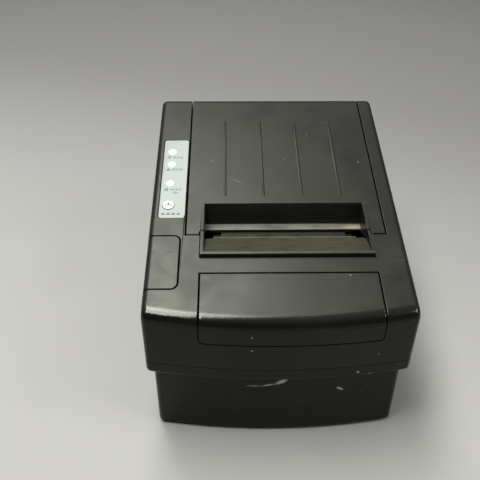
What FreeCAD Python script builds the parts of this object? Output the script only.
import FreeCAD, Part
import math
import os
import re
import Sketcher

# A desktop receipt printer with a clamshell lid. The front looks along -Y, +X is on the
# viewer's right, +Z is up, and the origin is on the table under the middle of the case.

doc = FreeCAD.newDocument("receipt_printer")

# Driving dimensions, in millimetres and degrees
SIZES = {
    # Case
    "case_width": 145.0,
    "case_depth": 190.0,
    "deck_height": 107.9,
    "deck_slope": 11.0,
    "front_bow": 7.0,
    "wall": 2.5,
    "edge_round": 3.5,
    "front_round": 6.5,
    "rear_round": 6.5,
    "foot_height": 2.0,
    "foot_radius": 6.0,
    "foot_inset": 14.0,
    "floor_thick": 2.5,
    "parting_height": 56.5,
    "flange_height": 8.5,
    "flange_round": 2.4,
    "base_inset": 3.8,
    "seam": 0.8,
    "slip": 0.3,
    "fit": 0.05,
    # Lid
    "left_border": 21.5,
    "right_border": 10.3,
    "lid_setback": 61.8,
    "hinge_height": 78.0,
    "knuckle_radius": 5.0,
    "hinge_pin_radius": 2.0,
    "hinge_pin_grip": 12.0,
    "ridge_count": 4.0,
    "ridge_pitch": 23.0,
    "ridge_width": 1.1,
    "ridge_rise": 0.5,
    "ridge_setback": 92.2,
    "ridge_length": 70.0,
    # Paper slot
    "slot_setback": 44.9,
    "slot_length": 40.9,
    "slot_rim": 2.0,
    "rim_rise": 2.4,
    "lip_length": 5.0,
    "lip_thick": 2.0,
    "ramp_thick": 2.0,
    "ramp_drop": 0.8,
    "ramp_setback": 6.5,
    "ramp_rise": 3.0,
    "ramp_notch": 5.0,
    # Cutter cover
    "cover_margin": 1.4,
    "cover_setback": 33.4,
    "cover_skirt": 75.2,
    "cover_round": 2.0,
    # Release button
    "button_width": 18.0,
    "button_setback": 23.9,
    "button_length": 36.5,
    "button_skirt": 9.0,
    "button_round": 3.5,
    "button_travel": 3.0,
    # Control panel
    "label_gap": 0.6,
    "label_length": 69.0,
    "label_setback": 74.5,
    "label_thick": 0.8,
    "label_margin": 4.5,
    "lamp_radius": 2.6,
    "feed_radius": 3.4,
    "lamp_offset": 5.6,
    "feed_from_front": 9.8,
    "first_lamp": 28.2,
    "second_lamp": 45.2,
    "third_lamp": 56.7,
    "label_round": 1.5,
    "lamp_proud": 0.3,
    "feed_proud": 0.6,
    "feed_travel": 0.6,
    "feed_collar": 1.0,
    "board_thick": 1.6,
    "panel_board_drop": 7.0,
    "lamp_die_height": 2.5,
    "switch_size": 6.0,
    "switch_height": 2.0,
    "boss_radius": 2.4,
    # Print mechanism
    "platen_setback": 82.0,
    "platen_drop": 25.4,
    "platen_radius": 8.0,
    "platen_inset": 5.0,
    "blade_thick": 1.0,
    "lip_clear": 2.0,
    "rib_depth": 9.0,
    "shelf_drop": 9.0,
    "boss_one": 18.5,
    "boss_two": 51.0,
    "finger_inset": 13.0,
    "finger_depth": 8.0,
    "finger_reach": 4.5,
    "gear_module": 0.8,
    "pressure_angle": 20.0,
    "addendum": 0.8,
    "dedendum": 1.1,
    "backlash": 0.25,
    "gear_width": 3.4,
    "platen_teeth": 20.0,
    "idler_teeth": 30.0,
    "pinion_teeth": 12.0,
    "shaft_radius": 3.0,
    "bush_radius": 4.5,
    "arm_thick": 3.0,
    "arm_gap": 0.6,
    "liner_gap": 3.0,
    "liner_thick": 1.5,
    "post_inset": 6.0,
    "latch_pin_radius": 1.5,
    "latch_pin_length": 2.4,
    "latch_pin_ahead": 14.0,
    "latch_pin_above": 11.5,
    "latch_shaft_radius": 2.0,
    "latch_hub": 3.6,
    "latch_thick": 1.8,
    "latch_reach": 1.0,
    "latch_ahead": 13.0,
    "latch_room": 4.0,
    "blade_inset": 9.5,
    "blade_lead": 0.8,
    "blade_park": 5.0,
    "blade_slip": 0.1,
    "blade_vee": 1.5,
    "blade_stroke": 4.7,
    "guide_thick": 1.5,
    "guide_reach": 6.0,
    "plate_thick": 1.5,
    "plate_ahead": 33.0,
    "beam_thick": 4.0,
    "beam_height": 28.0,
    "head_shaft_radius": 1.5,
    "head_thick": 1.2,
    "sink_thick": 3.8,
    "head_above": 6.0,
    "head_below": 10.0,
    "head_pivot_drop": 13.5,
    "ear_radius": 3.0,
    "ear_thick": 3.0,
    "spring_radius": 3.0,
    "spring_wire": 0.8,
    "spring_spread": 25.0,
    "stud_radius": 1.5,
    "motor_radius": 17.5,
    "motor_length": 12.0,
    "motor_angle": 45.0,
    "motor_shaft_radius": 1.5,
    "motor_bore": 3.0,
    "pinion_hole": 3.0,
    # Cutter drive
    "cutter_setback": 29.0,
    "cutter_shaft_radius": 1.5,
    "cutter_pinion_teeth": 12.0,
    "cutter_pinion_width": 6.0,
    "cutter_gear_teeth": 20.0,
    "cutter_drive_teeth": 12.0,
    "knob_teeth": 20.0,
    "knob_width": 7.0,
    "rack_half": 7.5,
    "cutter_motor_radius": 9.0,
    "cutter_motor_length": 26.0,
    # Paper tray
    "tray_inset": 2.5,
    "tray_wall": 2.0,
    "tray_flat": 14.4,
    "port_clear": 4.5,
    "tray_top": 70.0,
    # Main board and ports
    "standoff": 4.0,
    "board_depth": 68.0,
    "chip_pitch": 16.0,
    "chip_size": 14.0,
    "chip_height": 2.0,
    "capacitor_radius": 4.0,
    "capacitor_height": 5.5,
    "port_depth": 15.0,
    "port_reach": 11.0,
    "port_wall": 1.2,
    "port_count": 4.0,
    "drawer_width": 13.0,
    "drawer_height": 12.5,
    "network_width": 16.0,
    "network_height": 13.0,
    "usb_width": 12.0,
    "usb_height": 11.0,
    "inlet_width": 14.0,
    "inlet_height": 13.0,
    "rocker_width": 8.0,
    "rocker_length": 15.0,
    "rocker_depth": 4.0,
    "rocker_pivot": 1.2,
    "rocker_rise": 18.0,
    # Case screws
    "tower_x": 63.2,
    "tower_front": 26.0,
    "tower_rear": 26.0,
    "tower_radius": 4.2,
    "screw_recess": 3.0,
    "screw_radius": 1.5,
    "screw_head_radius": 2.8,
    "screw_head_height": 2.2,
    "screw_grip": 9.0,
}

# Places worked out from the sizes
PLACES = {
    "front": "-case_depth / 2",
    "rear": "case_depth / 2",
    "side": "case_width / 2",
    "bow_radius": "(case_width * case_width / 4 + front_bow * front_bow) / (2 * front_bow)",
    "deck_rise": "tan(deck_slope)",
    "deck_cosine": "cos(deck_slope)",
    "lid_left": "left_border - side",
    "lid_right": "side - right_border",
    "lid_width": "lid_right - lid_left",
    "lid_centre": "(lid_left + lid_right) / 2",
    "lid_leg": "slip + gear_width + seam + arm_thick + arm_gap",
    "lid_front": "front + lid_setback",
    "hinge_y": "rear - knuckle_radius",
    "slot_left": "lid_left + lid_leg + slot_rim",
    "slot_right": "lid_right - lid_leg - slot_rim",
    "slot_width": "slot_right - slot_left",
    "slot_front": "front + slot_setback",
    "slot_rear": "slot_front + slot_length",
    "cover_left": "slot_left - cover_margin",
    "cover_right": "slot_right + cover_margin",
    "cover_rear": "front + cover_setback",
    "base_side": "side - base_inset",
    "base_front": "front + base_inset",
    "base_rear": "rear - base_inset",
    "flange_bottom": "parting_height - flange_height",
    "base_floor": "foot_height + floor_thick",
    "button_front": "front + button_setback",
    "button_rear": "button_front + button_length",
    "button_right": "button_width - side",
    "label_left": "label_margin - side",
    "label_right": "lid_left - seam - label_gap",
    "label_front": "front + label_setback",
    "label_rear": "label_front + label_length",
    "rim_split": "lid_front + slot_rim",
    "rim_left": "slot_left - slot_rim",
    "rim_right": "slot_right + slot_rim",
    "lid_bottom": "hinge_height - knuckle_radius - seam",
    "lamp_x": "label_left + lamp_offset",
    "feed_y": "label_front + feed_from_front",
    "platen_length": "slot_width - 2 * platen_inset",
    "platen_y": "front + platen_setback",
    "platen_z": "deck_height + platen_y * deck_rise - platen_drop",
    "platen_front": "platen_y - platen_radius",
    "lip_bottom": "platen_z + platen_radius + lip_clear",
    "lip_top": "lip_bottom + lip_thick",
    "lip_rear": "slot_rear - slot_rim",
    "lip_front": "lip_rear - lip_length",
    "ramp_rear": "platen_front - ramp_setback",
    "ramp_rear_top": "lip_top + ramp_rise",
    "gear_x": "lid_left + slip",
    "shaft_end": "rim_right + arm_gap + arm_thick + seam",
    "left_plate_x": "lid_left - seam - plate_thick",
    "right_plate_x": "lid_right + seam",
    "idler_z": "platen_z - gear_module * (platen_teeth + idler_teeth) / 2",
    "motor_reach": "gear_module * (idler_teeth + pinion_teeth) / 2",
    "motor_y": "platen_y - motor_reach * cos(motor_angle)",
    "motor_z": "idler_z - motor_reach * sin(motor_angle)",
    "blade_left": "slot_left + blade_inset",
    "blade_right": "slot_right - blade_inset",
    "guide_top": "lip_bottom - 2 * blade_thick - 2 * blade_slip",
    "guide_bottom": "guide_top - guide_thick",
    "plate_front": "platen_y - plate_ahead",
    "plate_rear": "platen_y + platen_radius + slip",
    "beam_bottom": "guide_bottom - beam_height",
    "head_y": "platen_front - slip - head_thick - sink_thick",
    "head_z": "platen_z - head_pivot_drop",
    "latch_pin_y": "platen_y - latch_pin_ahead",
    "latch_pin_z": "platen_z + latch_pin_above",
    "latch_y": "latch_pin_y - latch_ahead",
    "latch_z": "latch_pin_z - slip",
    "latch_x": "lid_left + slot_rim + slip",
    "cutter_y": "front + cutter_setback",
    "cutter_z": "guide_top + blade_slip - gear_module * (dedendum + cutter_pinion_teeth / 2)",
    "cutter_frame_left": "blade_left + slip",
    "cutter_frame_right": "cutter_pinion_x + cutter_pinion_width + seam",
    "cutter_gear_x": "cutter_frame_left - seam - gear_width",
    "cutter_pinion_x": "(lid_centre + blade_right) / 2",
    "knob_x": "cutter_frame_right + plate_thick + seam",
    "cutter_motor_z": "cutter_z - gear_module * (cutter_gear_teeth + cutter_drive_teeth) / 2",
    "tray_left": "slot_left + tray_inset",
    "tray_right": "slot_right - tray_inset",
    "tray_front": "platen_y + platen_radius + wall",
    "tray_rear": "base_rear - wall - seam",
    "tray_reach": "(tray_rear - tray_front - tray_flat) / 2",
    "tray_round": "tray_reach - tray_wall",
    "tray_inward": "tray_reach - port_depth + wall + seam",
    "port_top": "base_floor + standoff + board_thick + network_height",
    "can_top": "base_floor + standoff + board_thick + capacitor_height",
    "tray_drop": "tray_reach - sqrt(tray_reach ^ 2 - tray_inward ^ 2)",
    "tray_bottom": "max(can_top + seam; port_top + port_clear - tray_drop)",
    "board_left": "tray_left + seam",
    "board_right": "tray_right - seam",
    "port_pitch": "(board_right - board_left) / port_count",
}


def fill_sheet(name, cells):
    """Write one alias and its value or formula on each row of a spreadsheet."""
    sheet = doc.addObject("Spreadsheet::Sheet", name)
    for row, (alias, text) in enumerate(cells.items(), start=1):
        sheet.set(f"A{row}", alias)
        sheet.set(f"B{row}", text)
        sheet.setAlias(f"B{row}", alias)
    return sheet


SHEET_OF = {alias: "sizes" for alias in SIZES}
SHEET_OF.update({alias: "places" for alias in PLACES})
ALIAS = re.compile(r"\b[a-z_]+\b")


def bound(text):
    """Write the sheet's name before each alias of an expression."""
    def with_sheet(match):
        word = match.group(0)
        return f"{SHEET_OF[word]}.{word}" if word in SHEET_OF else word
    return ALIAS.sub(with_sheet, str(text))


sizes = fill_sheet("sizes", {alias: str(value) for alias, value in SIZES.items()})
doc.recompute()
places = fill_sheet("places", {alias: "=" + bound(text) for alias, text in PLACES.items()})
doc.recompute()


def value(text):
    """The number that an expression of the sheets has now."""
    result = sizes.evalExpression(bound(text))
    return float(getattr(result, "Value", result))


def bind(thing, path, text):
    thing.setExpression(path, bound(text))


def deck(y, drop="0"):
    """Height of the deck at y, or of a face that lies drop below it."""
    return f"(deck_height + ({y}) * deck_rise - ({drop}) / deck_cosine)"


# Modelling helpers: each takes its sizes as expressions of the sheets
X_AXIS = FreeCAD.Vector(1, 0, 0)
Y_AXIS = FreeCAD.Vector(0, 1, 0)
Z_AXIS = FreeCAD.Vector(0, 0, 1)
ALONG = {
    "x": FreeCAD.Rotation(Y_AXIS, 90),
    "y": FreeCAD.Rotation(X_AXIS, -90),
    "z": FreeCAD.Rotation(),
}
PLANES = {
    "XY": FreeCAD.Rotation(),
    "YZ": FreeCAD.Rotation(0.5, 0.5, 0.5, 0.5),
}


def put(thing, point):
    """Bind the place of an object's own origin."""
    for axis, text in zip("xyz", point):
        bind(thing, f"Placement.Base.{axis}", text)


def tilt(thing):
    """Lay an object parallel to the deck."""
    thing.Placement.Rotation = FreeCAD.Rotation(X_AXIS, value("deck_slope"))
    bind(thing, "Placement.Rotation.Angle", "deck_slope")


def box(name, low, high):
    """A block between two corners."""
    block = doc.addObject("Part::Box", name)
    for prop, start, end in zip(("Length", "Width", "Height"), low, high):
        bind(block, prop, f"({end}) - ({start})")
    put(block, low)
    return block


def rod(name, along, radius, start, length):
    """A cylinder along x, y or z from the middle of its first end."""
    cylinder = doc.addObject("Part::Cylinder", name)
    cylinder.Placement.Rotation = ALONG[along]
    bind(cylinder, "Radius", radius)
    bind(cylinder, "Height", length)
    put(cylinder, start)
    return cylinder


def deck_box(name, low, high, drop, thick):
    """A plate parallel to the deck over a plan rectangle, its top face drop below the deck."""
    plate = doc.addObject("Part::Box", name)
    bind(plate, "Length", f"({high[0]}) - ({low[0]})")
    bind(plate, "Width", f"(({high[1]}) - ({low[1]})) / deck_cosine")
    bind(plate, "Height", thick)
    tilt(plate)
    put(plate, (low[0], low[1], deck(low[1], f"({drop}) + ({thick})")))
    return plate


def deck_rod(name, radius, x, y, drop, length):
    """A cylinder square to the deck, its top face drop below the deck at x, y."""
    cylinder = doc.addObject("Part::Cylinder", name)
    bind(cylinder, "Radius", radius)
    bind(cylinder, "Height", length)
    tilt(cylinder)
    deep = f"(({drop}) + ({length}))"
    put(cylinder, (x, f"({y}) + {deep} * sin(deck_slope)", f"{deck(y)} - {deep} * deck_cosine"))
    return cylinder


def polygon(sketch, points):
    """Draw a closed polygon, each corner held by its distances from the sketch's origin."""
    count = len(points)
    corners = [FreeCAD.Vector(value(x), value(y), 0) for x, y in points]
    for index in range(count):
        sketch.addGeometry(Part.LineSegment(corners[index], corners[(index + 1) % count]))
    for index in range(count):
        sketch.addConstraint(Sketcher.Constraint("Coincident", index, 2, (index + 1) % count, 1))
    for index, (x, y) in enumerate(points):
        for kind, text in (("DistanceX", x), ("DistanceY", y)):
            datum = Sketcher.Constraint(kind, -1, 1, index, 1, value(text))
            bind(sketch, f"Constraints[{sketch.addConstraint(datum)}]", text)


def prism(name, plane, points, start, length):
    """A polygon drawn on a plane at start and extruded square to it."""
    sketch = doc.addObject("Sketcher::SketchObject", name + "_sketch")
    sketch.Placement = FreeCAD.Placement(FreeCAD.Vector(), PLANES[plane])
    polygon(sketch, points)
    normal = {"XY": "z", "YZ": "x"}[plane]
    bind(sketch, f"Placement.Base.{normal}", start)
    solid = doc.addObject("Part::Extrusion", name)
    solid.Base = sketch
    solid.DirMode = "Custom"
    solid.Dir = {"x": X_AXIS, "z": Z_AXIS}[normal]
    solid.Solid = True
    bind(solid, "LengthFwd", length)
    return solid


def cut(name, base, *tools):
    """Take tools away from a base."""
    result = base
    for index, tool in enumerate(tools, start=1):
        last = index == len(tools)
        step = doc.addObject("Part::Cut", name if last else f"{name}_step{index}")
        step.Base = result
        step.Tool = tool
        result = step
    return result


def join(name, *pieces):
    """Make one piece of several that touch or overlap."""
    fusion = doc.addObject("Part::MultiFuse", name)
    fusion.Shapes = list(pieces)
    fusion.Refine = True
    return fusion


def overlap(name, *pieces):
    """Keep what all the pieces share."""
    common = doc.addObject("Part::MultiCommon", name)
    common.Shapes = list(pieces)
    return common


def group(name, *pieces):
    """Several separate solids in one node."""
    compound = doc.addObject("Part::Compound", name)
    compound.Links = list(pieces)
    return compound


def rounded(name, base, radius, test):
    """Round the edges of a base that pass a test on their bounding box and shape."""
    doc.recompute()
    fillet = doc.addObject("Part::Fillet", name)
    fillet.Base = base
    size = value(radius)
    edges = enumerate(base.Shape.Edges, start=1)
    fillet.Edges = [(index, size, size) for index, edge in edges if test(edge)]
    doc.recompute()
    return fillet


def near(first, second):
    return abs(first - second) < 1e-4


# The finished pieces, each under the name of its file
NODES = {}


def node(name, piece):
    """Keep a finished piece."""
    piece.Label = name
    NODES[name] = piece
    return piece


# Case block: the closed outer form, drawn in by an inset
def plane_of(body, role):
    return next(plane for plane in body.Origin.OriginFeatures if plane.Role == role)


def body_sketch(body, name, role):
    sketch = body.newObject("Sketcher::SketchObject", name)
    sketch.AttachmentSupport = [(plane_of(body, role), "")]
    sketch.MapMode = "FlatFace"
    return sketch


def plan_outline(sketch, half_width, front_y, rear_y, radius):
    """Straight sides and rear, with a bowed front of the given radius."""
    wide = value(half_width)
    bow = value(radius)
    middle = value(front_y) + bow
    corner = middle - math.sqrt(bow * bow - wide * wide)
    back = value(rear_y)
    points = [(-wide, back), (-wide, corner), (wide, corner), (wide, back)]
    corners = [FreeCAD.Vector(x, y, 0) for x, y in points]
    swing = math.asin(wide / bow)
    circle = Part.Circle(FreeCAD.Vector(0, middle, 0), Z_AXIS, bow)
    sketch.addGeometry(Part.LineSegment(corners[0], corners[1]))
    sketch.addGeometry(Part.ArcOfCircle(circle, -math.pi / 2 - swing, -math.pi / 2 + swing))
    sketch.addGeometry(Part.LineSegment(corners[2], corners[3]))
    sketch.addGeometry(Part.LineSegment(corners[3], corners[0]))
    for index in range(4):
        sketch.addConstraint(Sketcher.Constraint("Coincident", index, 2, (index + 1) % 4, 1))
    sketch.addConstraint(Sketcher.Constraint("Vertical", 0))
    sketch.addConstraint(Sketcher.Constraint("Vertical", 2))
    sketch.addConstraint(Sketcher.Constraint("Horizontal", 3))
    held = [
        (Sketcher.Constraint("DistanceX", -1, 1, 0, 1, -wide), f"-({half_width})"),
        (Sketcher.Constraint("DistanceX", -1, 1, 2, 1, wide), half_width),
        (Sketcher.Constraint("DistanceY", -1, 1, 0, 1, back), rear_y),
        (Sketcher.Constraint("DistanceX", -1, 1, 1, 3, 0.0), "0"),
        (Sketcher.Constraint("DistanceY", -1, 1, 1, 3, middle), f"({front_y}) + ({radius})"),
        (Sketcher.Constraint("Radius", 1, bow), radius),
    ]
    for datum, text in held:
        bind(sketch, f"Constraints[{sketch.addConstraint(datum)}]", text)


def plan_pad(name, inset, bottom, top):
    """The plan outline of the case, drawn in by inset, between two heights."""
    body = doc.addObject("PartDesign::Body", name)
    sketch = body_sketch(body, name + "_plan", "XY_Plane")
    plan_outline(sketch, f"side - ({inset})", f"front + ({inset})", f"rear - ({inset})",
                 f"bow_radius - ({inset})")
    bind(sketch, "AttachmentOffset.Base.z", bottom)
    pad = body.newObject("PartDesign::Pad", name + "_pad")
    pad.Profile = sketch
    bind(pad, "Length", f"({top}) - ({bottom})")
    return body, pad


def body_fillet(body, name, base, radius, test):
    doc.recompute()
    fillet = body.newObject("PartDesign::Fillet", name)
    edges = enumerate(base.Shape.Edges, start=1)
    fillet.Base = (base, [f"Edge{index}" for index, edge in edges if test(edge)])
    bind(fillet, "Radius", radius)
    return fillet


def case_block(name, inset, bottom):
    """The case under its sloped deck, drawn in by inset, with its long edges rounded."""
    over = f"{deck('rear')} + wall"
    body, pad = plan_pad(name, inset, bottom, over)
    sketch = body_sketch(body, name + "_slope", "YZ_Plane")
    ahead = "front - wall"
    behind = "rear + wall"
    lifted = f"{over} + wall"
    polygon(sketch, [(ahead, deck(ahead, inset)), (behind, deck(behind, inset)),
                     (behind, lifted), (ahead, lifted)])
    pocket = body.newObject("PartDesign::Pocket", name + "_deck")
    pocket.Profile = sketch
    pocket.Type = "ThroughAll"
    pocket.Midplane = True
    doc.recompute()
    edge_x = value(f"side - ({inset})")
    floor = value(f"{bottom} + wall")

    def crosswise(edge):
        bounds = edge.BoundBox
        return near(bounds.XMin, -edge_x) and near(bounds.XMax, edge_x)

    def front_edge(edge):
        return crosswise(edge) and edge.BoundBox.ZMin > floor and edge.BoundBox.YMax < 0

    def rear_edge(edge):
        return crosswise(edge) and edge.BoundBox.ZMin > floor and edge.BoundBox.YMin > 0

    def side_edge(edge):
        bounds = edge.BoundBox
        on_side = near(bounds.XMin, bounds.XMax) and near(abs(bounds.XMin), edge_x)
        return on_side and bounds.ZMax > floor

    front_soft = body_fillet(body, name + "_front", pocket, f"front_round - ({inset})", front_edge)
    rear_soft = body_fillet(body, name + "_rear", front_soft, f"rear_round - ({inset})", rear_edge)
    body_fillet(body, name + "_sides", rear_soft, f"edge_round - ({inset})", side_edge)
    doc.recompute()
    return body


# Lower case: an inset tub under a flange as wide as the upper case
def upright(edge):
    bounds = edge.BoundBox
    return near(bounds.XMin, bounds.XMax) and near(bounds.YMin, bounds.YMax)


def level_at(height):
    """A test for edges that lie level at a height."""
    flat = value(height)

    def test(edge):
        return near(edge.BoundBox.ZMin, flat) and near(edge.BoundBox.ZMax, flat)
    return test


def rounded_pad(name, inset, bottom, top, corner):
    body, pad = plan_pad(name, inset, bottom, top)
    body_fillet(body, name + "_corners", pad, corner, upright)
    doc.recompute()
    return body


base_outer = rounded_pad("base_outer", "base_inset", "foot_height", "flange_bottom + wall", "edge_round")
body_fillet(base_outer, "base_edge", base_outer.Tip, "floor_thick / 2", level_at("foot_height"))
flange_outer = rounded_pad("flange_outer", "0", "flange_bottom", "parting_height", "edge_round")
body_fillet(flange_outer, "flange_edge", flange_outer.Tip, "flange_round", level_at("flange_bottom"))
inside_corner = "edge_round - wall"
base_inner = rounded_pad("base_inner", "base_inset + wall", "base_floor", "parting_height", inside_corner)
flange_inner = rounded_pad("flange_inner", "wall", "flange_bottom + wall", "parting_height + wall",
                           inside_corner)
tub = cut("tub", join("tub_outer", base_outer, flange_outer), base_inner, flange_inner)

# Upper case: a shell under the sloped deck, open for the lid, slot, cover, button and panel
case_outer = case_block("case_outer", "0", "parting_height")
case_inner = case_block("case_inner", "wall", "parting_height - wall")
shell = cut("shell", case_outer, case_inner)
above = f"{deck('rear')} + wall"

lid_hole = box("lid_hole", ("lid_left - seam", "lid_front - seam", deck("lid_front", "4 * wall")),
               ("lid_right + seam", "rear + wall", above))
rear_hole = box("rear_hole", ("lid_left - seam", "rear - 2 * knuckle_radius", "lid_bottom"),
                ("lid_right + seam", "rear + wall", above))
slot_hole = box("slot_hole", ("rim_left - slip", "slot_front - slip", deck("slot_front", "4 * wall")),
                ("rim_right + slip", "lid_front", above))


def along_y(edge):
    bounds = edge.BoundBox
    return near(bounds.XMin, bounds.XMax) and near(bounds.ZMin, bounds.ZMax)


def cover_form(name, spare):
    """The block that parts the cutter cover from the case, widened by spare on each side."""
    block = box(name + "_block", (f"cover_left - ({spare})", "front - wall", f"cover_skirt - ({spare})"),
                (f"cover_right + ({spare})", f"cover_rear + ({spare})", above))
    floor = value(f"cover_skirt - ({spare})")
    return rounded(name, block, f"cover_round + ({spare})",
                   lambda edge: along_y(edge) and near(edge.BoundBox.ZMin, floor))


def button_form(name, spare, travel):
    """The block that parts the release button from the case, with room for its travel below."""
    ahead = f"button_front - ({spare})"
    behind = f"button_rear + ({spare})"
    drop = f"button_skirt + ({spare}) + ({travel})"
    block = prism(name + "_block", "YZ", [(ahead, deck(ahead, drop)), (behind, deck(behind, drop)),
                                          (behind, above), (ahead, above)],
                  "-side - wall", f"button_width + wall + ({spare})")
    inner = value(f"button_right + ({spare})")
    return rounded(name, block, f"button_round + ({spare})",
                   lambda edge: upright(edge) and near(edge.BoundBox.XMin, inner))


def label_form(name, drop, thick, spare):
    """A rounded plate of the label's plan, parallel to the deck."""
    plate = deck_box(name + "_block", (f"label_left - ({spare})", f"label_front - ({spare})"),
                     (f"label_right + ({spare})", f"label_rear + ({spare})"), drop, thick)
    doc.recompute()
    height = value(thick)
    return rounded(name, plate, "label_round", lambda edge: near(edge.Length, height))


LAMPS = ("first_lamp", "second_lamp", "third_lamp")


def lamp_rods(name, radius, drop, length):
    """One rod square to the deck for each lamp of the panel."""
    return [deck_rod(f"{name}_{lamp}", radius, "lamp_x", f"label_front + {lamp}", drop, length)
            for lamp in LAMPS]


through = "4 * wall"
lamp_holes = lamp_rods("lamp_hole", "lamp_radius + fit", "-wall", through)
feed_hole = deck_rod("feed_hole", "feed_radius + slip", "lamp_x", "feed_y", "-wall", through)
label_recess = label_form("label_recess", "-wall", "wall + label_thick", "fit")

upper_open = cut("upper_open", shell, lid_hole, rear_hole, slot_hole, cover_form("cover_hole", "seam"),
                 button_form("button_hole", "seam", "button_travel"), label_recess, feed_hole, *lamp_holes)

# Ledge behind the cutter cover, shelf under the release button, cheeks at the hinge, panel bosses
ledge = join("cover_ledge",
             deck_box("ledge_plate", ("cover_left", "cover_rear - wall"),
                      ("cover_right", "cover_rear + 2 * wall"), "wall + slip", "wall / 2"),
             deck_box("ledge_root", ("cover_left", "cover_rear + seam"),
                      ("cover_right", "cover_rear + 2 * wall"), "wall / 2", "wall"))
shelf_top = deck("button_front", "button_skirt + shelf_drop")
shelf = box("button_shelf", ("wall / 2 - side", "button_front", f"{shelf_top} - wall"),
            ("button_right", "button_rear", shelf_top))
cheek_low = ("hinge_y - 2 * knuckle_radius", "parting_height + wall")
cheeks = []
for name, start in (("left_cheek", "lid_left - seam - wall"), ("right_cheek", "lid_right + seam")):
    end = f"{start} + wall"
    cheeks.append(box(name, (start, cheek_low[0], cheek_low[1]),
                      (end, "rear - wall / 2", "hinge_height + 2 * knuckle_radius")))
bosses = [deck_rod(f"panel_boss_{index}", "boss_radius", "lamp_x", f"label_front + {place}",
                   "label_thick + wall / 2", "panel_board_drop - label_thick - wall / 2")
          for index, place in enumerate(("boss_one", "boss_two"), start=1)]
pin_holes = rod("pin_holes", "x", "hinge_pin_radius",
                ("lid_left - seam - wall", "hinge_y", "hinge_height"), "lid_width + 2 * seam + 2 * wall")

# Hinge pins in the cheeks
left_pin = rod("left_pin", "x", "hinge_pin_radius", ("lid_left - seam - wall", "hinge_y", "hinge_height"),
               "wall + seam + hinge_pin_grip")
right_pin = rod("right_pin", "x", "hinge_pin_radius",
                ("lid_right - hinge_pin_grip", "hinge_y", "hinge_height"), "wall + seam + hinge_pin_grip")
node("hinge_pins", group("hinge_pin_pair", left_pin, right_pin))


# Lid: the rest of the shell between its seams, with its knuckle, ridges and the rear of the slot
def rim_top(y):
    """Height of the slot rim, level with the deck at its rear and proud of it at its front."""
    return f"({deck(y)} + rim_rise * (slot_rear - ({y})) / slot_length)"


def side_pair(name, maker):
    """The same piece at the left and at the right of the slot."""
    return [maker(f"{name}_left", "rim_left"), maker(f"{name}_right", "slot_right")]


lid_block = box("lid_block", ("lid_left", "lid_front", "hinge_height"), ("lid_right", "rear + wall", above))
lid_skin = overlap("lid_skin", shell, lid_block)
knuckle = rod("knuckle", "x", "knuckle_radius", ("lid_left", "hinge_y", "hinge_height"), "lid_width")
slot_cut = box("slot_cut", ("slot_left", "lid_front - wall", "hinge_height"),
               ("slot_right", "slot_rear", above))
leg_cut = box("leg_cut", ("rim_left - seam", "lid_front - wall", "hinge_height"),
              ("rim_right + seam", "rim_split", above))


def lid_rim(name, start):
    low = deck("rim_split", "2 * wall")
    return prism(name, "YZ", [("rim_split", low), ("rim_split", rim_top("rim_split")),
                              ("slot_rear", rim_top("slot_rear")), ("slot_rear", "lip_bottom"),
                              ("lip_front", "lip_bottom")], start, "slot_rim")


trough = prism("trough", "YZ", [("slot_rear", deck("slot_rear")), ("lip_rear", "lip_top"),
                                ("lip_front", "lip_top"), ("lip_front", "lip_bottom"),
                                ("slot_rear", "lip_bottom"),
                                ("slot_rear + slot_rim", deck("slot_rear + slot_rim", "wall / 2"))],
               "rim_left", "slot_width + 2 * slot_rim")
ridges = []
for index in range(int(value("ridge_count"))):
    middle = f"(lid_centre + ({index} - (ridge_count - 1) / 2) * ridge_pitch)"
    ridge = deck_box(f"ridge_{index}_block", (f"{middle} - ridge_width / 2", "front + ridge_setback"),
                     (f"{middle} + ridge_width / 2", "front + ridge_setback + ridge_length"),
                     "-ridge_rise", "ridge_rise + wall / 2")
    ridges.append(ridge)
edge_ribs = []
for name, start in (("left_rib", "lid_left"), ("right_rib", "lid_right - slot_rim")):
    last = "hinge_y - knuckle_radius"
    edge_ribs.append(prism(name, "YZ", [("lid_front", deck("lid_front", "wall / 2")),
                                        (last, deck(last, "wall / 2")), (last, deck(last, "rib_depth")),
                                        ("lid_front", deck("lid_front", "rib_depth"))], start, "slot_rim"))
pin_bore = rod("pin_bore", "x", "hinge_pin_radius + fit", ("lid_left", "hinge_y", "hinge_height"),
               "lid_width")
lid_open = cut("lid_open", lid_skin, slot_cut, leg_cut)
lid_whole = join("lid_whole", lid_open, knuckle, trough, *side_pair("lid_rim", lid_rim), *ridges, *edge_ribs)
node("lid", cut("lid_body", lid_whole, pin_bore))


# Slot frame: the front of the rim and the ramp that the paper leaves over
def frame_side(name, start):
    last = "rim_split - seam"
    points = [("slot_front", deck("slot_front", "2 * wall")), ("slot_front", rim_top("slot_front")),
              (last, rim_top(last)), (last, deck(last, "3 * wall"))]
    return prism(name, "YZ", points, start, "slot_rim")


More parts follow.
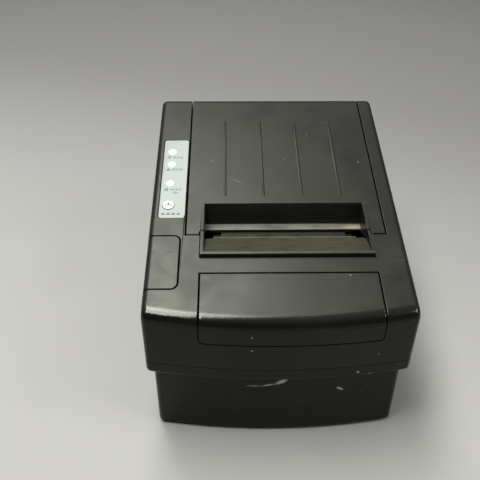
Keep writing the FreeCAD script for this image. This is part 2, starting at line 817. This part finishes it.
ramp_front = "slot_front + slot_rim"
ramp_front_top = f"({rim_top(ramp_front)} - ramp_drop)"
ramp = prism("ramp", "YZ", [("slot_front", ramp_front_top), (ramp_front, ramp_front_top),
                            ("ramp_rear", "ramp_rear_top"), ("ramp_rear", "ramp_rear_top - ramp_thick"),
                            ("slot_front", f"{ramp_front_top} - ramp_thick")], "rim_left",
             "slot_width + 2 * slot_rim")
front_rim_points = [("slot_front", deck("slot_front", "2 * wall")), ("slot_front", rim_top("slot_front")),
                    (ramp_front, rim_top(ramp_front)), (ramp_front, deck(ramp_front, "2 * wall"))]
front_rim = prism("front_rim", "YZ", front_rim_points, "rim_left", "slot_width + 2 * slot_rim")
frame_foot = deck_box("frame_foot", ("rim_left", "slot_front - 2 * wall"), ("rim_right", ramp_front), "wall",
                      "wall / 2")
frame_whole = join("frame_whole", ramp, front_rim, frame_foot, *side_pair("frame_side", frame_side))
notches = []
for name, start in (("notch_left", "slot_left"), ("notch_right", "slot_right - ramp_notch")):
    notches.append(box(name, (start, "ramp_rear - slot_rim", "lip_bottom"),
                       (f"{start} + ramp_notch", "ramp_rear + slot_rim", above)))
end_trims = []
for name, start in (("end_trim_left", "rim_left - slip"), ("end_trim_right", "slot_right")):
    end_trims.append(box(name, (start, "rim_split - seam", "lip_bottom"),
                         (f"{start} + slot_rim + slip", "slot_rear", above)))
node("slot_frame", cut("slot_frame_body", frame_whole, *notches, *end_trims))

# Cutter cover: over the front edge, with a rounded skirt down the front face
cover_skin = overlap("cover_skin", shell, cover_form("cover_block", "0"))
node("cutter_cover", cover_skin)

# Release button: a cap over the left edge with a finger for the latch
button_skin = overlap("button_skin", shell, button_form("button_block", "0", "0"))
finger_top = deck("button_front + finger_inset", "wall / 2")
finger = box("button_finger", ("button_right - button_width / 2", "button_front + finger_inset",
                               f"{finger_top} - finger_depth"),
             ("finger_reach + lid_left", "button_front + finger_inset + 2 * wall",
              f"{finger_top} - finger_depth + 2 * wall"))
finger_post = box("finger_post", ("button_right - button_width / 2", "button_front + finger_inset",
                                  f"{finger_top} - finger_depth"),
                  ("button_right - 2 * wall", "button_front + finger_inset + 2 * wall", finger_top))
node("release_button", join("release_button_body", button_skin, finger, finger_post))

# Control panel: label, lamp lenses, feed button, and the board that they press on
label_plate = label_form("label_plate", "0", "label_thick", "0")
label_holes = lamp_rods("label_lamp_hole", "lamp_radius + fit", "-wall", through)
label_feed_hole = deck_rod("label_feed_hole", "feed_radius + slip", "lamp_x", "feed_y", "-wall", through)
node("panel_label", cut("panel_label_body", label_plate, label_feed_hole, *label_holes))
lens_length = "panel_board_drop - lamp_die_height + lamp_proud - slip"
lenses = lamp_rods("lamp_lens", "lamp_radius", "-lamp_proud", lens_length)
node("lamp_lenses", group("lamp_lens_group", *lenses))
node("panel_lamps", group("panel_lamp_group",
                          *lamp_rods("lamp_die", "lamp_radius - fit", "panel_board_drop - lamp_die_height",
                                     "lamp_die_height")))
board_low = ("wall + seam - side", "label_front")
board_high = ("label_right", "label_rear")
node("panel_board", deck_box("panel_board_plate", board_low, board_high, "panel_board_drop", "board_thick"))
feed_stem_end = "panel_board_drop - switch_height - feed_travel - slip"
feed_cap = deck_rod("feed_cap", "feed_radius", "lamp_x", "feed_y", "-feed_proud", "feed_proud + wall + slip")
feed_flange = deck_rod("feed_flange", "feed_radius + feed_collar", "lamp_x", "feed_y", "wall + slip",
                       "feed_collar")
feed_stem = deck_rod("feed_stem", "feed_radius / 2", "lamp_x", "feed_y", "wall", f"{feed_stem_end} - wall")
node("feed_button", join("feed_button_body", feed_cap, feed_flange, feed_stem))
half_switch = "switch_size / 2"
node("feed_switch", deck_box("feed_switch_box", (f"lamp_x - {half_switch}", f"feed_y - {half_switch}"),
                             (f"lamp_x + {half_switch}", f"feed_y + {half_switch}"),
                             "panel_board_drop - switch_height", "switch_height"))


# Print mechanism, all placed from the platen's axis
def gear(name, teeth, width, start, turn):
    """A spur gear along x with involute flanks. Its first tooth points along +y, then it is turned."""
    count = int(round(value(teeth)))
    module = value("gear_module")
    pitch = module * count / 2
    pressure = math.radians(value("pressure_angle"))
    base = pitch * math.cos(pressure)
    tip = pitch + module * value("addendum")
    root = pitch - module * value("dedendum")
    half = (math.pi / 2 - value("backlash") / module) / count + math.tan(pressure) - pressure

    def flank_angle(radius):
        roll = math.acos(min(1.0, base / radius))
        return half - (math.tan(roll) - roll)

    first = max(base, root)
    radii = [first + (tip - first) * step / 3 for step in range(4)]
    points = []
    for index in range(count):
        middle = 2 * math.pi * index / count
        rise = [(radius, middle - flank_angle(radius)) for radius in radii]
        fall = [(radius, middle + flank_angle(radius)) for radius in reversed(radii)]
        flat = [(root, middle - flank_angle(first)), *rise, *fall, (root, middle + flank_angle(first))]
        points += [FreeCAD.Vector(0, r * math.cos(a), r * math.sin(a)) for r, a in flat]
    if root >= base:
        points = [point for index, point in enumerate(points) if index % 10 not in (0, 9)]
    face = Part.Face(Part.makePolygon(points + points[:1]))
    wheel = doc.addObject("Part::Feature", name)
    wheel.Shape = face.extrude(FreeCAD.Vector(value(width), 0, 0))
    wheel.Placement = FreeCAD.Placement(FreeCAD.Vector(), FreeCAD.Rotation(X_AXIS, turn))
    put(wheel, start)
    return wheel


def half_tooth(teeth):
    """Half a tooth pitch, in degrees."""
    return 180.0 / round(value(teeth))


def ring(name, along, outer, inner, start, length):
    """A tube along an axis."""
    return cut(name, rod(name + "_outer", along, outer, start, length),
               rod(name + "_bore", along, inner, start, length))


# Platen roller, carried by the lid
shaft_start = ("gear_x", "platen_y", "platen_z")
roller_start = ("lid_centre - platen_length / 2", "platen_y", "platen_z")
node("platen_shaft", rod("platen_shaft_rod", "x", "shaft_radius", shaft_start, "shaft_end - gear_x"))
node("platen_roller", ring("platen_tube", "x", "platen_radius", "shaft_radius", roller_start,
                           "platen_length"))
platen_wheel = gear("platen_wheel", "platen_teeth", "gear_width", shaft_start, -90)
platen_bore = rod("platen_gear_bore", "x", "shaft_radius", shaft_start, "gear_width")
node("platen_gear", cut("platen_gear_body", platen_wheel, platen_bore))

ARMS = (("left", "rim_left - arm_gap - arm_thick"), ("right", "rim_right + arm_gap"))
bushes = [ring(f"{name}_bush", "x", "bush_radius", "shaft_radius + fit", (start, "platen_y", "platen_z"),
               "arm_thick") for name, start in ARMS]
node("platen_bushes", group("platen_bush_pair", *bushes))

# Lid liner: a plate under the lid with the two arms that carry the platen, and the latch pin
liner_drop = "wall + liner_gap"
liner_front = "slot_rear + slot_rim + liner_gap"
liner_rear = "hinge_y - 2 * knuckle_radius"
arm_root = f"({liner_front} + 2 * arm_thick)"
arm_low = "(platen_z - bush_radius - wall)"


def platen_arm(name, start):
    """A plate from the liner down to the bush, with a horn towards the latch."""
    points = [(arm_root, deck(arm_root, liner_drop)), (liner_front, deck(liner_front, liner_drop)),
              ("latch_pin_y + 2 * latch_pin_radius", "latch_pin_z + 2 * latch_pin_radius"),
              ("latch_pin_y - 2 * latch_pin_radius", "latch_pin_z + 2 * latch_pin_radius"),
              ("latch_pin_y - 2 * latch_pin_radius", "latch_pin_z - 2 * latch_pin_radius"),
              ("latch_pin_y + 2 * latch_pin_radius", "latch_pin_z - 2 * latch_pin_radius"),
              ("platen_y - bush_radius - wall", "platen_z + bush_radius"),
              ("platen_y - bush_radius - wall", "platen_z - bush_radius"),
              ("platen_y - bush_radius", arm_low), ("platen_y + bush_radius", arm_low),
              ("platen_y + bush_radius + wall", "platen_z - bush_radius"),
              ("platen_y + bush_radius + wall", "platen_z + bush_radius"),
              (arm_root, deck(arm_root, f"{liner_drop} + 2 * arm_thick"))]
    plate = prism(f"{name}_arm_plate", "YZ", points, start, "arm_thick")
    return cut(f"{name}_arm", plate, rod(f"{name}_arm_hole", "x", "bush_radius",
                                         (start, "platen_y", "platen_z"), "arm_thick"))


liner_left = ARMS[0][1]
liner_right = f"{ARMS[1][1]} + arm_thick"
liner_plate = deck_box("liner_plate", (liner_left, liner_front), (liner_right, liner_rear), liner_drop,
                       "liner_thick")
liner_posts = []
post_spots = [(x, y) for x in (f"{liner_left} + post_inset", f"{liner_right} - post_inset")
              for y in (f"{liner_front} + post_inset", f"{liner_rear} - post_inset")]
for index, (x, y) in enumerate(post_spots):
    liner_posts.append(deck_rod(f"liner_post_{index}", "boss_radius", x, y, "wall",
                                "liner_gap + liner_thick / 2"))
node("lid_liner", join("lid_liner_body", liner_plate, *(platen_arm(*arm) for arm in ARMS), *liner_posts))
node("latch_pin", rod("latch_pin_rod", "x", "latch_pin_radius",
                      (f"{liner_left} - latch_pin_length", "latch_pin_y", "latch_pin_z"), "latch_pin_length"))
fixed_low = ("blade_left", "platen_front - blade_lead", "lip_bottom - blade_thick")
node("fixed_blade", box("fixed_blade_plate", fixed_low, ("blade_right", "lip_rear", "lip_bottom")))


# Chassis: two side plates, the beam between them and the head's pivot shaft
def side_plate(name, start):
    points = [("plate_front", "base_floor"), ("plate_rear", "base_floor"), ("plate_rear", "idler_z"),
              ("platen_front", "guide_bottom"), ("latch_y + latch_hub + wall", "guide_bottom"),
              ("latch_y + latch_hub + wall", "latch_z + latch_hub"), ("plate_front", "latch_z + latch_hub")]
    return prism(name, "YZ", points, start, "plate_thick")


left_blank = side_plate("left_plate_blank", "left_plate_x")
motor_hole = rod("motor_hole", "x", "pinion_hole", ("left_plate_x", "motor_y", "motor_z"), "plate_thick")
head_shaft_holes = rod("head_shaft_holes", "x", "head_shaft_radius",
                       ("left_plate_x", "head_y", "head_z"), "right_plate_x + plate_thick - left_plate_x")
latch_hole = rod("latch_hole", "x", "latch_shaft_radius", ("left_plate_x", "latch_y", "latch_z"),
                 "plate_thick")
stud_hole = rod("stud_hole", "x", "stud_radius", ("left_plate_x", "platen_y", "idler_z"), "plate_thick")
node("left_side_plate", cut("left_plate_body", left_blank, motor_hole, head_shaft_holes, latch_hole,
                            stud_hole))
right_blank = side_plate("right_plate_blank", "right_plate_x")
node("right_side_plate", cut("right_plate_body", right_blank, head_shaft_holes))
node("head_shaft", rod("head_shaft_rod", "x", "head_shaft_radius", ("left_plate_x", "head_y", "head_z"),
                       "right_plate_x + plate_thick - left_plate_x"))
beam_bar = box("beam_bar", ("left_plate_x + plate_thick", "plate_front", "beam_bottom"),
               ("right_plate_x", "plate_front + beam_thick", "guide_bottom"))
beam_notch = box("beam_notch", ("left_plate_x", "plate_front - wall", "guide_bottom - latch_room"),
                 ("latch_x + latch_thick + seam", "plate_front + beam_thick + wall", "guide_top"))
node("chassis_beam", cut("chassis_beam_body", beam_bar, beam_notch))

# Thermal head on its sprung heat sink
head_low = "platen_z - head_below"
head_high = "platen_z + head_above"
head_left = "lid_centre - platen_length / 2"
head_right = "lid_centre + platen_length / 2"
head_rear = "platen_front - slip"
sink_rear = f"{head_rear} - head_thick"
sink_front = f"{sink_rear} - sink_thick"
node("thermal_head", box("thermal_head_strip", (head_left, sink_rear, head_low),
                         (head_right, head_rear, head_high)))
sink = box("sink_bar", (head_left, sink_front, head_low), (head_right, sink_rear, head_high))
ears = []
for name, start in (("left", head_left), ("right", f"{head_right} - ear_thick")):
    ears.append(rod(f"{name}_ear_eye", "x", "ear_radius", (start, "head_y", "head_z"), "ear_thick"))
    ears.append(box(f"{name}_ear_web", (start, "head_y - ear_radius", "head_z"),
                    (f"{start} + ear_thick", sink_rear, head_low)))
sink_bore = rod("sink_bore", "x", "head_shaft_radius + fit", (head_left, "head_y", "head_z"), "platen_length")
node("heat_sink", cut("heat_sink_body", join("sink_joined", sink, *ears), sink_bore))
springs = [ring(f"head_spring_{name}", "y", "spring_radius", "spring_radius - spring_wire",
                (f"lid_centre {sign} spring_spread", "plate_front + beam_thick", "platen_z"),
                f"{sink_front} - plate_front - beam_thick")
           for name, sign in (("left", "-"), ("right", "+"))]
node("head_springs", group("head_spring_pair", *springs))

# Feed motor, its pinion and the idler that drives the platen gear
node("gear_stud", rod("gear_stud_rod", "x", "stud_radius", ("left_plate_x", "platen_y", "idler_z"),
                      "gear_x + gear_width - left_plate_x"))
gear_line = 90.0
idler_wheel = gear("idler_wheel", "idler_teeth", "gear_width", ("gear_x", "platen_y", "idler_z"),
                   gear_line + half_tooth("idler_teeth"))
idler_bore = rod("idler_bore", "x", "stud_radius + fit", ("gear_x", "platen_y", "idler_z"), "gear_width")
node("idler_gear", cut("idler_gear_body", idler_wheel, idler_bore))
idler_phase = gear_line + half_tooth("idler_teeth")
drive_line = 180.0 + value("motor_angle")
meshed = (drive_line - idler_phase) * value("idler_teeth") / value("pinion_teeth")
pinion_wheel = gear("pinion_wheel", "pinion_teeth", "gear_width", ("gear_x", "motor_y", "motor_z"),
                    drive_line + 180.0 + half_tooth("pinion_teeth") + meshed)
pinion_shaft = rod("pinion_shaft", "x", "motor_shaft_radius",
                   ("left_plate_x - motor_bore", "motor_y", "motor_z"),
                   "gear_x - left_plate_x + motor_bore + gear_width")
node("motor_pinion", join("motor_pinion_body", pinion_wheel, pinion_shaft))
motor_can = rod("motor_can", "x", "motor_radius", ("left_plate_x - motor_length", "motor_y", "motor_z"),
                "motor_length")
motor_socket = rod("motor_socket", "x", "motor_shaft_radius + fit",
                   ("left_plate_x - motor_bore", "motor_y", "motor_z"), "motor_bore")
node("feed_motor", cut("feed_motor_body", motor_can, motor_socket))

# Cutter: guide, moving blade with its rack, shaft with pinion, gear and knob, and its motor
node("cutter_guide", box("guide_plate", ("blade_left", "plate_front - guide_reach", "guide_bottom"),
                         ("blade_right", "plate_front + beam_thick + wall", "guide_top")))
blade_low = "guide_top + blade_slip"
blade_high = f"({blade_low} + blade_thick)"
blade_tip = "platen_front - blade_park"
blade_plan = [("blade_left", "plate_front"), ("blade_right", "plate_front"), ("blade_right", blade_tip),
              ("lid_centre", f"{blade_tip} - blade_vee"), ("blade_left", blade_tip)]
blade_plate = prism("blade_plate", "XY", blade_plan, blade_low, "blade_thick")
rack_left = "cutter_pinion_x"
rack_right = "cutter_pinion_x + cutter_pinion_width"
rack_front = "cutter_y - rack_half"
rack_rear = "cutter_y + rack_half - blade_stroke"
rack_arm = box("rack_arm", (rack_left, rack_front, blade_low), (rack_right, "plate_front + wall", blade_high))


def rack_teeth(name):
    """Straight-sided teeth under the arm, one of whose gaps stands over the cutter pinion."""
    module = value("gear_module")
    pitch = math.pi * module
    line = value("cutter_z") + module * value("cutter_pinion_teeth") / 2
    top = value(blade_low)
    low = line - module * value("addendum")
    lean = math.tan(math.radians(value("pressure_angle")))
    half = pitch / 4 - value("backlash") / 2
    middle = value("cutter_y") + pitch / 2
    first = math.ceil((value(rack_front) + pitch / 2 - middle) / pitch)
    last = math.floor((value(rack_rear) - pitch / 2 - middle) / pitch)
    teeth = []
    for index in range(first, last + 1):
        y = middle + index * pitch
        wide = half + (top - line) * lean
        narrow = half - (line - low) * lean
        outline = [(y - wide, top), (y + wide, top), (y + narrow, low), (y - narrow, low)]
        corners = [FreeCAD.Vector(0, *corner) for corner in outline + outline[:1]]
        face = Part.Face(Part.makePolygon(corners))
        teeth.append(face.extrude(FreeCAD.Vector(value("cutter_pinion_width"), 0, 0)))
    rack = doc.addObject("Part::Feature", name)
    rack.Shape = Part.makeCompound(teeth)
    bind(rack, "Placement.Base.x", "cutter_pinion_x")
    return rack


node("moving_blade", join("moving_blade_body", blade_plate, rack_arm, rack_teeth("rack_tooth_row")))
cutter_axis = ("cutter_y", "cutter_z")
cutter_start = ("cutter_gear_x", *cutter_axis)
node("cutter_shaft", rod("cutter_rod", "x", "cutter_shaft_radius", cutter_start,
                         "knob_x + knob_width - cutter_gear_x"))


def on_cutter(name, teeth, width, start, turn):
    """A toothed wheel bored for the cutter shaft."""
    wheel = gear(name + "_wheel", teeth, width, (start, *cutter_axis), turn)
    bore = rod(name + "_bore", "x", "cutter_shaft_radius", (start, *cutter_axis), width)
    return cut(name + "_body", wheel, bore)


node("cutter_pinion", on_cutter("cutter_pinion", "cutter_pinion_teeth", "cutter_pinion_width",
                                "cutter_pinion_x", gear_line))
node("cutter_gear", on_cutter("cutter_gear", "cutter_gear_teeth", "gear_width", "cutter_gear_x", -gear_line))
node("cutter_knob", on_cutter("cutter_knob", "knob_teeth", "knob_width", "knob_x", 0))
drive_start = ("cutter_gear_x", "cutter_y", "cutter_motor_z")
drive_wheel = gear("drive_wheel", "cutter_drive_teeth", "gear_width", drive_start,
                   gear_line + half_tooth("cutter_drive_teeth"))
drive_shaft = rod("drive_shaft", "x", "cutter_shaft_radius", drive_start,
                  "cutter_frame_left + plate_thick + motor_bore - cutter_gear_x")
node("cutter_motor_pinion", join("cutter_motor_pinion_body", drive_wheel, drive_shaft))
can_start = ("cutter_frame_left + plate_thick", "cutter_y", "cutter_motor_z")
cutter_can = rod("cutter_can", "x", "cutter_motor_radius", can_start, "cutter_motor_length")
can_socket = rod("can_socket", "x", "cutter_shaft_radius + fit", can_start, "motor_bore")
node("cutter_motor", cut("cutter_motor_body", cutter_can, can_socket))
frame_low = "cutter_motor_z - cutter_motor_radius"
frame_parts = [box("cutter_frame_back", ("cutter_frame_left", "plate_front - plate_thick", frame_low),
                   ("cutter_frame_right + plate_thick", "plate_front", "cutter_z"))]
for name, start in (("left", "cutter_frame_left"), ("right", "cutter_frame_right")):
    low = (start, "cutter_y - wall - cutter_shaft_radius", frame_low)
    high = (f"{start} + plate_thick", "plate_front", "cutter_z + 2 * cutter_shaft_radius")
    frame_parts.append(box(f"cutter_cheek_{name}", low, high))
frame_bores = [rod("cutter_frame_bore", "x", "cutter_shaft_radius + fit", ("cutter_frame_left", *cutter_axis),
                   "cutter_frame_right + plate_thick - cutter_frame_left"),
               rod("drive_bore", "x", "cutter_shaft_radius + fit",
                   ("cutter_frame_left", "cutter_y", "cutter_motor_z"), "plate_thick")]
node("cutter_frame", cut("cutter_frame_body", join("cutter_frame_joined", *frame_parts), *frame_bores))

# Latch lever under the button's finger, its shaft, and the spring that lifts the button
finger_low = f"({finger_top} - finger_depth)"
finger_front = "button_front + finger_inset"
pad = f"({finger_low} - slip)"
pad_rear = f"({finger_front} + 2 * wall + latch_reach)"
nose = "latch_pin_y - latch_pin_radius - slip"
lever_points = [(finger_front, f"{pad} - wall"), (finger_front, pad), (pad_rear, pad),
                ("latch_y - latch_hub", "latch_z + latch_hub - slip"),
                ("latch_y + latch_hub", "latch_z + latch_hub - slip"),
                (nose, "latch_pin_z + latch_pin_radius"), (nose, "latch_pin_z - latch_pin_radius"),
                ("latch_y + latch_hub", "latch_z - latch_hub + slip"),
                ("latch_y - latch_hub", "latch_z - latch_hub + slip"), (pad_rear, f"{pad} - wall")]
lever_plate = prism("lever_plate", "YZ", lever_points, "latch_x", "latch_thick")
node("latch_lever", cut("latch_lever_body", lever_plate,
                        rod("lever_bore", "x", "latch_shaft_radius + fit", ("latch_x", "latch_y", "latch_z"),
                            "latch_thick")))
node("latch_shaft", rod("latch_shaft_rod", "x", "latch_shaft_radius", ("left_plate_x", "latch_y", "latch_z"),
                        "latch_x + latch_thick - left_plate_x"))
spring_x = "button_right - button_width / 2"
spring_y = "button_rear - button_length / 3"
node("button_spring", ring("button_spring_coil", "z", "spring_radius", "spring_radius - spring_wire",
                           (spring_x, spring_y, shelf_top),
                           f"{deck(f'{spring_y} - spring_radius', 'wall')} - {shelf_top}"))


# Paper tray on its legs over the main board
def across(height):
    """A test for edges along x at a height."""
    flat = level_at(height)

    def test(edge):
        return flat(edge) and near(edge.BoundBox.YMin, edge.BoundBox.YMax)
    return test


tray_shell = box("tray_block", ("tray_left - tray_wall", "tray_front", "tray_bottom"),
                 ("tray_right + tray_wall", "tray_rear", "tray_top"))
tray_space = box("tray_space", ("tray_left", "tray_front + tray_wall", "tray_bottom + tray_wall"),
                 ("tray_right", "tray_rear - tray_wall", "tray_top + wall"))
tray_outer = rounded("tray_outer", tray_shell, "tray_reach", across("tray_bottom"))
tray_inner = rounded("tray_inner", tray_space, "tray_round", across("tray_bottom + tray_wall"))
legs = []
for name, start in (("left", "tray_left - tray_wall"), ("right", "tray_right")):
    legs.append(box(f"tray_leg_{name}", (start, "tray_front + tray_round", "base_floor"),
                    (f"{start} + tray_wall", "tray_rear - tray_round", "tray_bottom + tray_round")))
node("paper_tray", join("paper_tray_body", cut("tray_hollow", tray_outer, tray_inner), *legs))


# Main board on standoffs, with its chips and the ports in the rear wall
board_bottom = "base_floor + standoff"
board_top = f"({board_bottom} + board_thick)"
board_front = "base_rear - wall - slip - board_depth"
board_rear = "base_rear - wall - slip"
node("main_board", box("main_board_plate", ("board_left", board_front, board_bottom),
                       ("board_right", board_rear, board_top)))


def chip(name, x, y, length, width, height):
    """A flat package on the board, x from its left edge and y from its front edge."""
    low = (f"board_left + {x}", f"{board_front} + {y}", board_top)
    return box(name, low, (f"{low[0]} + {length}", f"{low[1]} + {width}", f"{board_top} + {height}"))


chips = [chip("processor", "chip_pitch", "chip_pitch", "chip_size", "chip_size", "chip_height"),
         chip("memory", "2.5 * chip_pitch", "chip_pitch", "chip_size / 2", "chip_size", "chip_height"),
         chip("head_driver", "3.5 * chip_pitch", "chip_pitch", "chip_size", "chip_size / 2", "chip_height")]
cans = [rod(f"capacitor_{index}", "z", "capacitor_radius",
            (f"board_left + {index} * chip_pitch", f"{board_front} + 2.6 * chip_pitch", board_top),
            "capacitor_height") for index in (1, 2)]
node("board_chips", group("board_chip_group", *chips, *cans))


def port_box(name, x, width, height, spare, start, end):
    """A block around a port whose middle is at x."""
    return box(name, (f"{x} - {width} / 2 - ({spare})", start, f"{board_top} - ({spare})"),
               (f"{x} + {width} / 2 + ({spare})", end, f"{board_top} + {height} + ({spare})"))


def port_shell(name, x, width, height):
    """A port's housing, open to the rear."""
    housing = port_box(name + "_housing", x, width, height, "0", "base_rear - port_depth", "base_rear")
    hollow = port_box(name + "_hollow", x, width, height, "-port_wall", "base_rear - port_reach",
                      "base_rear + wall")
    return cut(name + "_shell", housing, hollow)


usb_x = "(board_left + 2.5 * port_pitch)"
inlet_x = "(board_left + 3.5 * port_pitch)"
PORTS = (("drawer_port", "(board_left + 0.5 * port_pitch)", "drawer_width", "drawer_height"),
         ("network_port", "(board_left + 1.5 * port_pitch)", "network_width", "network_height"),
         ("usb_port", usb_x, "usb_width", "usb_height"),
         ("power_inlet", inlet_x, "inlet_width", "inlet_height"))
tongue = box("usb_tongue", (f"{usb_x} - usb_width / 4", "base_rear - port_depth",
                            f"{board_top} + usb_height / 2 - port_wall"),
             (f"{usb_x} + usb_width / 4", "base_rear - 2 * port_wall",
              f"{board_top} + usb_height / 2 + port_wall"))
inlet_start = (inlet_x, "base_rear - port_reach", f"{board_top} + inlet_height / 2")
inlet_housing = port_box("inlet_housing", inlet_x, "inlet_width", "inlet_height", "0",
                         "base_rear - port_depth", "base_rear")
inlet_well = rod("inlet_well", "y", "inlet_width / 2 - port_wall", inlet_start, "port_reach")
node("drawer_port", port_shell(*PORTS[0]))
node("network_port", port_shell(*PORTS[1]))
node("usb_port", join("usb_port_body", port_shell(*PORTS[2]), tongue))
node("power_inlet", cut("power_inlet_body", inlet_housing, inlet_well))
port_holes = [port_box(name + "_hole", x, width, height, "slip", "base_rear - 2 * wall", "base_rear + wall")
              for name, x, width, height in PORTS]

# Power rocker in its housing beside the tray
rocker_x = "base_side - wall - seam - rocker_width - 2 * port_wall"
rocker_z = "base_floor + rocker_rise"
rocker_y = "base_rear - rocker_depth"
housing_low = (rocker_x, f"{rocker_y} - rocker_depth", f"{rocker_z} - rocker_length / 2 - port_wall")
housing_high = (f"{rocker_x} + rocker_width + 2 * port_wall", "base_rear",
                f"{rocker_z} + rocker_length / 2 + port_wall")
rocker_housing = box("rocker_housing", housing_low, housing_high)
rocker_well = box("rocker_well", (f"{rocker_x} + port_wall", f"{rocker_y} - rocker_depth + port_wall",
                                  f"{rocker_z} - rocker_length / 2"),
                  (f"{rocker_x} + rocker_width + port_wall", "base_rear + wall",
                   f"{rocker_z} + rocker_length / 2"))
pivot_start = (f"{rocker_x} + port_wall / 2", rocker_y, rocker_z)
pivot_length = "rocker_width + port_wall"
pivot_hole = rod("pivot_hole", "x", "rocker_pivot + fit", pivot_start, pivot_length)
node("rocker_housing", cut("rocker_housing_body", rocker_housing, rocker_well, pivot_hole))
reach = "(rocker_length / 2 - slip - seam)"
rocker_points = [(f"{rocker_y} - rocker_pivot", f"{rocker_z} - 2 * rocker_pivot"),
                 (f"{rocker_y} + rocker_pivot", f"{rocker_z} - {reach}"),
                 ("base_rear + seam", f"{rocker_z} - {reach}"), ("base_rear", rocker_z),
                 ("base_rear + seam", f"{rocker_z} + {reach}"),
                 (f"{rocker_y} + rocker_pivot", f"{rocker_z} + {reach}"),
                 (f"{rocker_y} - rocker_pivot", f"{rocker_z} + 2 * rocker_pivot")]
rocker_block = prism("rocker_block", "YZ", rocker_points, f"{rocker_x} + port_wall + slip",
                     "rocker_width - 2 * slip")
pivot_pin = rod("rocker_pivot_pin", "x", "rocker_pivot",
                (f"{rocker_x} + port_wall / 2 + slip / 2", rocker_y, rocker_z), f"{pivot_length} - slip")
node("power_rocker", join("power_rocker_body", rocker_block, pivot_pin))
rocker_hole = box("rocker_hole", (f"{rocker_x} - slip", "base_rear - 2 * wall", f"{housing_low[2]} - slip"),
                  (f"{housing_high[0]} + slip", "base_rear + wall", f"{housing_high[2]} + slip"))

# Screw towers in both cases, the screws in them, standoffs and feet
CORNERS = [(x, y) for x in ("-tower_x", "tower_x") for y in ("front + tower_front", "rear - tower_rear")]


def at_corners(name, radius, low, length):
    return [rod(f"{name}_{index}", "z", radius, (x, y, low), length) for index, (x, y) in enumerate(CORNERS)]


web_bottom = "foot_height + screw_recess"
towers = at_corners("tower", "tower_radius", "foot_height", "parting_height - foot_height")
wells = at_corners("tower_well", "screw_head_radius + slip", "0", web_bottom)
clear_holes = at_corners("clear_hole", "screw_radius + slip", "0", "parting_height + wall")
thread_holes = at_corners("thread_hole", "screw_radius", "parting_height - wall", "screw_grip + wall + slip")
heads = at_corners("screw_head", "screw_head_radius", f"{web_bottom} - screw_head_height",
                   "screw_head_height")
shanks = at_corners("screw_shank", "screw_radius", web_bottom,
                    f"parting_height - ({web_bottom}) + screw_grip")
screws = [join(f"case_screw_{index}", head, shank) for index, (head, shank) in enumerate(zip(heads, shanks))]
node("case_screws", group("case_screw_group", *screws))
pads = []
for index, (x, y) in enumerate(CORNERS):
    inner, outer = ("-side + wall / 2", f"{x} + tower_radius")
    if not x.startswith("-"):
        inner, outer = (f"{x} - tower_radius", "side - wall / 2")
    pads.append(box(f"tower_pad_{index}", (inner, f"{y} - tower_radius", "parting_height"),
                    (outer, f"{y} + tower_radius", "parting_height + screw_grip + wall")))
standoff_spots = [(x, y) for x in ("board_left + 2 * boss_radius", "board_right - 2 * boss_radius")
                  for y in (f"{board_front} + 2 * boss_radius", f"{board_rear} - 2 * boss_radius")]
standoffs = [rod(f"standoff_{index}", "z", "boss_radius", (x, y, "base_floor - wall / 2"),
                 "standoff + wall / 2") for index, (x, y) in enumerate(standoff_spots)]
node("lower_case", cut("lower_case_body", join("tub_joined", tub, *towers, *standoffs), *wells, *clear_holes,
                       *port_holes, rocker_hole))
upper_joined = join("upper_joined", upper_open, ledge, shelf, *cheeks, *bosses, *pads)
node("upper_case", cut("upper_case_body", upper_joined, pin_holes, *thread_holes))
foot_spots = [(x, y) for x in ("foot_inset - base_side", "base_side - foot_inset")
              for y in ("base_front + front_bow + foot_inset", "base_rear - foot_inset")]
feet = [rod(f"foot_{index}", "z", "foot_radius", (x, y, "0"), "foot_height")
        for index, (x, y) in enumerate(foot_spots)]
node("rubber_feet", group("rubber_foot_group", *feet))


# Written files
def check():
    """Stop if any object failed or any piece is empty or invalid."""
    doc.recompute()
    for thing in doc.Objects:
        if "Invalid" in thing.State or "Error" in thing.State:
            raise RuntimeError(f"{thing.Name} failed: {thing.State}")
    for name, piece in NODES.items():
        shape = piece.Shape
        if shape.isNull() or not shape.isValid() or not shape.Solids:
            raise RuntimeError(f"{name} has no valid solid")


check()
os.makedirs("parts", exist_ok=True)
for name, piece in NODES.items():
    piece.Shape.exportStep(f"parts/{name}.step")
    print(f"{name}: {len(piece.Shape.Solids)} solids, {piece.Shape.Volume / 1000:.2f} cm3")
